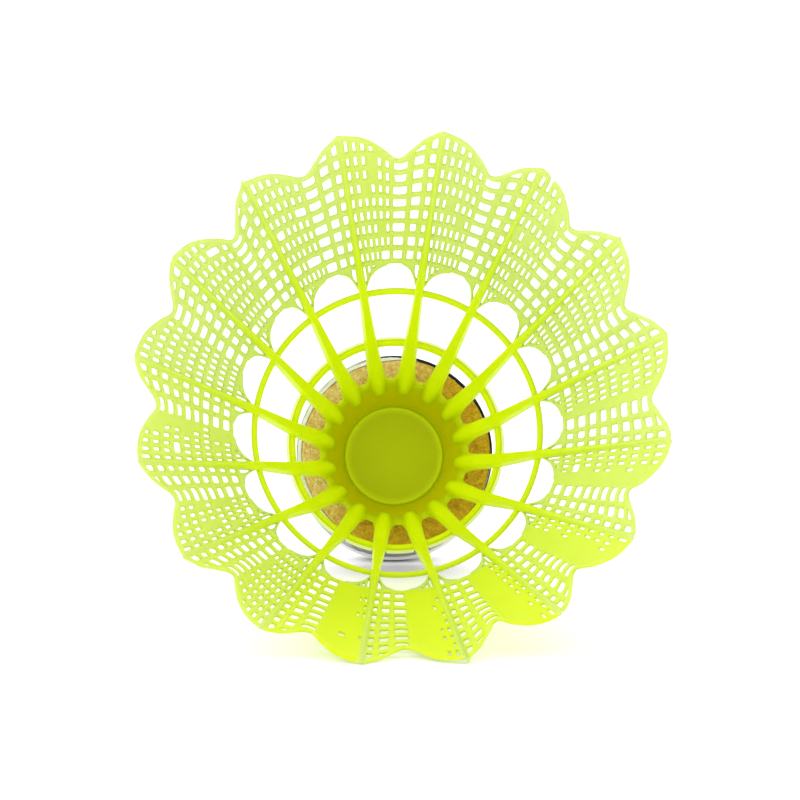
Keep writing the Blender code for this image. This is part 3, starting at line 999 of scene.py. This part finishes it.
def leather_material():
    """White coated leather: pebbled grain, slightly yellowed, grey and dusty on the nose."""
    mat, tree, place = new_material("white_leather")
    pebbles = add_node(tree, "ShaderNodeTexVoronoi", {"feature": "DISTANCE_TO_EDGE"}, Vector=place,
                       Scale=1500.0)
    grain = threshold(tree, pebbles.outputs["Distance"], 0.0, 0.22)
    broad = noise_texture(tree, place, 110.0, 4.0)
    marks = noise_texture(tree, place, 420.0, 8.0, 0.72)
    wear_and_highlight = attribute(tree, "wear_and_highlight")
    colour = ramp(tree, broad, (0.3, (0.74, 0.73, 0.70)), (0.7, (0.80, 0.795, 0.78)))
    colour = mix_colours(tree, maths(tree, "MULTIPLY", wear_and_highlight, 0.8), colour, NOSE_GREY)
    dusty = maths(tree, "MULTIPLY", wear_and_highlight, threshold(tree, marks, 0.50, 0.68))
    colour = mix_colours(tree, maths(tree, "MULTIPLY", dusty, 0.32), colour, (0.33, 0.30, 0.26))
    # painted shade: the creases between the grain's pebbles are coloured a little darker
    creases = maths(tree, "SUBTRACT", 1.0, grain)
    colour = mix_colours(tree, maths(tree, "MULTIPLY", creases, 0.10), colour, (0.36, 0.34, 0.31))
    roughness = maths(tree, "ADD", 0.40, maths(tree, "MULTIPLY", dusty, 0.35))
    normal = bump(tree, grain, 0.00005, 0.55, bump(tree, broad, 0.0003, 0.3))
    shader = add_node(tree, "ShaderNodeBsdfPrincipled", Base_Color=colour, Roughness=roughness,
                      Normal=normal)
    to_output(tree, shader.outputs[0])
    return mat


def ribbon_material():
    """Glossy black film: faint cross-grain, fine scratches and an edge painted pale on one side as a
    highlight.
    """
    mat, tree, place = new_material("black_film")
    wear_and_highlight = attribute(tree, "wear_and_highlight")
    smudges = noise_texture(tree, place, 260.0, 6.0, 0.6)
    stretched = add_node(tree, "ShaderNodeMapping", Vector=place, Scale=(1.0, 9.0, 9.0))
    scratches = noise_texture(tree, stretched.outputs[0], 700.0, 5.0, 0.7)
    lines = threshold(tree, scratches, 0.60, 0.66)
    colour = mix_colours(tree, maths(tree, "MULTIPLY", lines, 0.10), (0.008, 0.008, 0.009),
                         (0.20, 0.20, 0.21))
    # painted highlight: pale patches on the ribbon's top edge on the lit upper left
    highlight_patches = threshold(tree, noise_texture(tree, place, 900.0, 5.0, 0.7), 0.36, 0.42)
    colour = mix_colours(tree, maths(tree, "MULTIPLY", wear_and_highlight, highlight_patches), colour, (0.72, 0.73, 0.66))
    roughness = maths(tree, "ADD", 0.16, maths(tree, "MULTIPLY", smudges, 0.16))
    shader = add_node(tree, "ShaderNodeBsdfPrincipled", Base_Color=colour, Roughness=roughness,
                      Normal=bump(tree, smudges, 0.00012, 0.35), Specular_IOR_Level=0.15)
    to_output(tree, shader.outputs[0])
    return mat


def floor_material():
    """Pale paper that glows a little, except where the cork lies on it, which leaves a painted contact
    shadow.
    """
    mat, tree, place = new_material("studio_floor")
    paper = noise_texture(tree, place, 40.0, 5.0)
    colour = ramp(tree, paper, (0.3, (0.925, 0.925, 0.93)), (0.7, (0.94, 0.94, 0.94)))
    # painted shadow: the glow fades out in a patch round the cork's contact with the floor
    painted_shadow_centre = REST @ polar(0.0, 0.0, LENGTH - DOME_RADIUS)
    across = 1.0 / (FLOOR_PAINTED_SHADOW[0] * MM)
    along = 1.0 / (FLOOR_PAINTED_SHADOW[1] * MM)
    away = add_node(tree, "ShaderNodeMapping", Vector=place, Scale=(across, along, 0.0),
                    Location=(-across * painted_shadow_centre.x, -along * painted_shadow_centre.y, 0.0))
    distance = add_node(tree, "ShaderNodeVectorMath", {"operation": "LENGTH"}, Vector=away.outputs[0])
    glow = eased(tree, distance.outputs["Value"], (0.3, 1.0), (0.0, FLOOR_GLOW))
    shader = add_node(tree, "ShaderNodeBsdfPrincipled", Base_Color=colour, Roughness=0.55,
                      Normal=bump(tree, paper, 0.0002, 0.05), Emission_Color=(1.0, 1.0, 1.0, 1.0),
                      Emission_Strength=glow)
    to_output(tree, shader.outputs[0])
    mat.cycles.emission_sampling = "NONE"
    return mat


# ---------------------------------------------------------------- wear and a painted highlight, as point attributes
def paint_wear_and_highlight(mesh, amount):
    """Point attribute "worn" from a function of (height in mm, turn), before the mesh is laid down."""
    wear_and_highlight = mesh.attributes.new("wear_and_highlight", "FLOAT", "POINT")
    for index, v in enumerate(mesh.vertices):
        wear_and_highlight.data[index].value = amount(v.co.z / MM, math.atan2(v.co.x, v.co.y) / DEG)
    return mesh


def rim_wear(height, turn):
    return smoothstep(LENGTH - 9.0, LENGTH - 1.0, height)


def nose_wear(height, turn):
    return 1.0 - smoothstep(1.0, 12.0, height)


def ribbon_painted_highlight(height, turn):
    # painted highlight: the ribbon's top edge on the upper-left stretch
    beside = 1.0 - smoothstep(38.0, 62.0, turns_apart(turn, COVER_EDGE_TURN))
    return beside * smoothstep(CORK_TOP - 1.2, CORK_TOP - 0.8, height)


# ---------------------------------------------------------------- stage, light and camera
STUDIO_BEHIND = 0.86         # strength of the white studio behind the camera ...
STUDIO_AROUND = 1.44         # ... and all round
STUDIO_TOP = 0.90            # share of it that is left straight overhead
STRIP_POWER = 2.0
CAMERA_DISTANCE = 706.0      # from the mouth's centre
CAMERA_LENS = 257.4
CAMERA_HEADING = 1.04        # degrees towards +X
CAMERA_DROP = 8.13           # degrees below the horizon
CAMERA_ROLL = 0.15           # degrees
MOUTH_RIGHT = 0.296          # the mouth's centre from the picture's, in millimetres
MOUTH_UP = 0.25


def add_camera():
    """A long lens that looks down into the mouth, as in the photo."""
    heading, drop = CAMERA_HEADING * DEG, CAMERA_DROP * DEG
    forward = Vector((math.sin(heading) * math.cos(drop), math.cos(heading) * math.cos(drop),
                      -math.sin(drop)))
    right = Vector((math.cos(heading), -math.sin(heading), 0.0))
    up = right.cross(forward)
    mouth = REST @ Vector((0.0, 0.0, LENGTH * MM))
    data = bpy.data.cameras.new("camera")
    data.lens = CAMERA_LENS
    data.sensor_width = 36.0
    data.clip_start = 0.01
    data.clip_end = 100.0
    camera = add_object("camera", data)
    spot = mouth - (MOUTH_RIGHT * right + MOUTH_UP * up + CAMERA_DISTANCE * forward) * MM
    frame_of_view = Matrix((right, up, -forward)).transposed().to_4x4()
    roll = Matrix.Rotation(CAMERA_ROLL * DEG, 4, "Z")
    camera.matrix_world = Matrix.Translation(spot) @ frame_of_view @ roll
    bpy.context.scene.camera = camera


def add_area_light(name, spot, target, width, height, power):
    data = bpy.data.lights.new(name, "AREA")
    data.shape = "RECTANGLE"
    data.size = width
    data.size_y = height
    data.energy = power
    light = add_object(name, data)
    light.location = spot
    light.rotation_mode = "QUATERNION"
    light.rotation_quaternion = (Vector(target) - Vector(spot)).to_track_quat("-Z", "Y")


def add_stage():
    """Pale floor, a white studio all round and a strip light from the left."""
    scene = bpy.context.scene
    scene.view_settings.view_transform = "Standard"
    world = bpy.data.worlds.new("studio")
    world.use_nodes = True
    tree = world.node_tree
    way = add_node(tree, "ShaderNodeSeparateXYZ", Vector=add_node(tree, "ShaderNodeTexCoord").outputs[0])
    front = eased(tree, way.outputs["Y"], (-0.98, -0.45), (STUDIO_BEHIND, STUDIO_AROUND))
    background = tree.nodes["Background"]
    background.inputs["Color"].default_value = (1.0, 1.0, 1.0, 1.0)
    above = eased(tree, way.outputs["Z"], (0.1, 0.9), (1.0, STUDIO_TOP))
    strength = maths(tree, "MULTIPLY", front, above)
    tree.links.new(strength, background.inputs["Strength"])
    scene.world = world
    middle = (cad_box[0] + cad_box[1]) / 2
    add_area_light("strip_left", (-0.75, -0.35, 0.75), middle, 0.30, 0.60, STRIP_POWER)
    bm = bmesh.new()
    bmesh.ops.create_grid(bm, x_segments=4, y_segments=4, size=12.0)
    floor = add_object("floor", mesh_from(bm, "floor"))
    floor.data.materials.append(floor_material())


def build():
    add_piece("skirt_lattice", paint_wear_and_highlight(skirt_mesh(), rim_wear), nylon_material(),
              "skirt")
    add_piece("cork_granules", cork_mesh(), cork_material(), "cork_base")
    add_piece("leather_cover", paint_wear_and_highlight(cover_mesh(), nose_wear), leather_material(),
              "cork_skin")
    add_piece("ribbon", paint_wear_and_highlight(ribbon_mesh(), ribbon_painted_highlight), ribbon_material(),
              "edge_band")


build()
add_stage()
add_camera()
